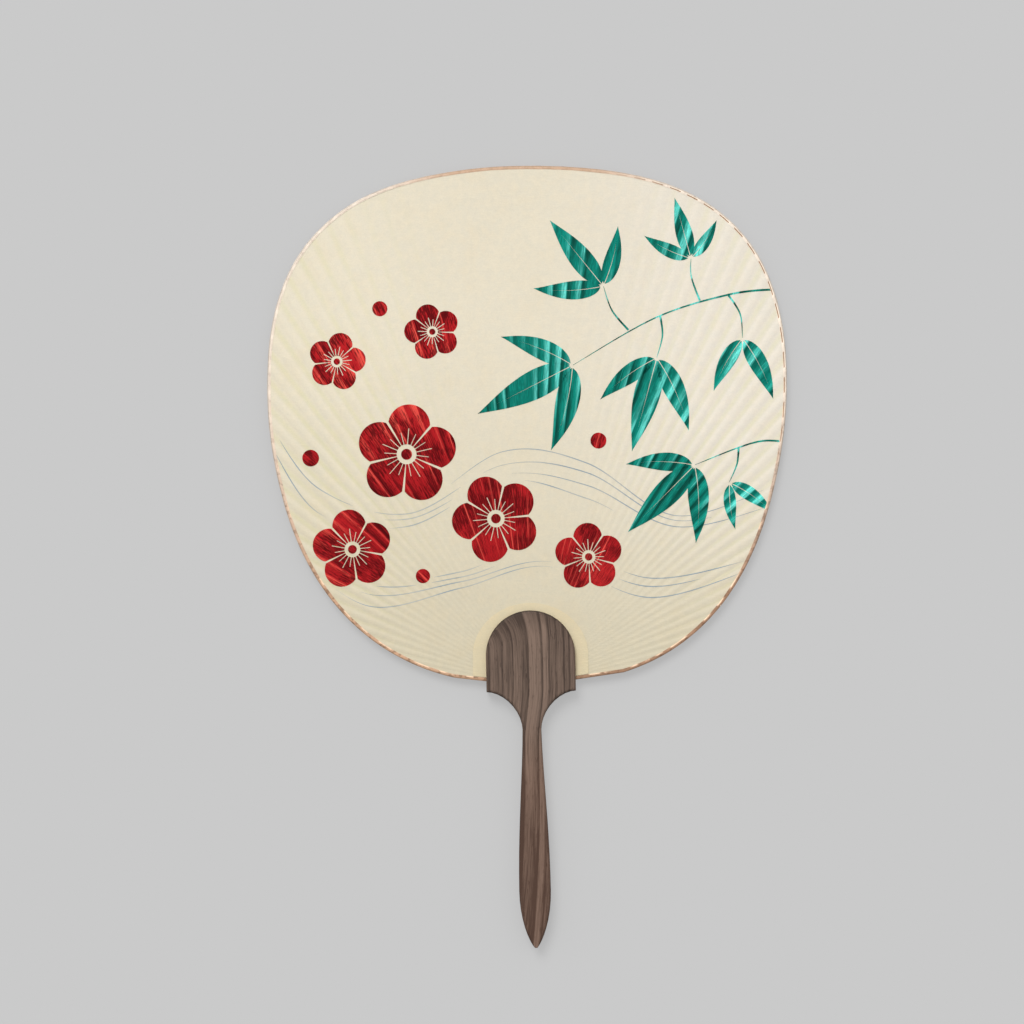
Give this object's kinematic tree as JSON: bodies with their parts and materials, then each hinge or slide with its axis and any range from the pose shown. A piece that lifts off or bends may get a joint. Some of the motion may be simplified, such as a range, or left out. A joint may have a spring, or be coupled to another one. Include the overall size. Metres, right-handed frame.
{
  "type": "uchiwa fan",
  "caption": "Round rigid hand fan: ribbed paper leaf with a bound edge, its foot set in the slotted round head of a slim wooden handle.",
  "frame": {"origin": "on the flat back of the handle's head, straight under the point where the lines of the ribs meet", "axes": "+X across the fan, +Y from the handle up the leaf, +Z from the back to the front"},
  "size_m": [0.2578, 0.3906, 0.009],
  "materials": {
    "handle_wood": "planed cedar with dark straight grain, dry matt",
    "leaf_paper": "cream fibrous paper, matt, with foil-stamped figures on the front",
    "collar_paper": "pale yellow paper, matt",
    "edge_foil": "copper-coloured foil on paper, crimped, bright",
    "bamboo": "split bamboo, satin"
  },
  "bodies": {
    "root": {"handle": "handle_wood", "front_paper": "leaf_paper", "back_paper": "leaf_paper", "rim_strip": "edge_foil", "front_collar": "collar_paper", "back_collar": "collar_paper", "rib_slip_01": "bamboo", "rib_slip_02": "bamboo", "rib_slip_03": "bamboo", "rib_slip_04": "bamboo", "rib_slip_05": "bamboo", "rib_slip_06": "bamboo", "rib_slip_07": "bamboo", "rib_slip_08": "bamboo", "rib_slip_09": "bamboo", "rib_slip_10": "bamboo", "rib_slip_11": "bamboo", "rib_slip_12": "bamboo", "rib_slip_13": "bamboo", "rib_slip_14": "bamboo", "rib_slip_15": "bamboo", "rib_slip_16": "bamboo", "rib_slip_17": "bamboo", "rib_slip_18": "bamboo", "rib_slip_19": "bamboo", "rib_slip_20": "bamboo", "rib_slip_21": "bamboo", "rib_slip_22": "bamboo", "rib_slip_23": "bamboo", "rib_slip_24": "bamboo", "rib_slip_25": "bamboo", "rib_slip_26": "bamboo", "rib_slip_27": "bamboo", "rib_slip_28": "bamboo", "rib_slip_29": "bamboo", "rib_slip_30": "bamboo", "rib_slip_31": "bamboo", "rib_slip_32": "bamboo", "rib_slip_33": "bamboo"}
  },
  "joints": []
}
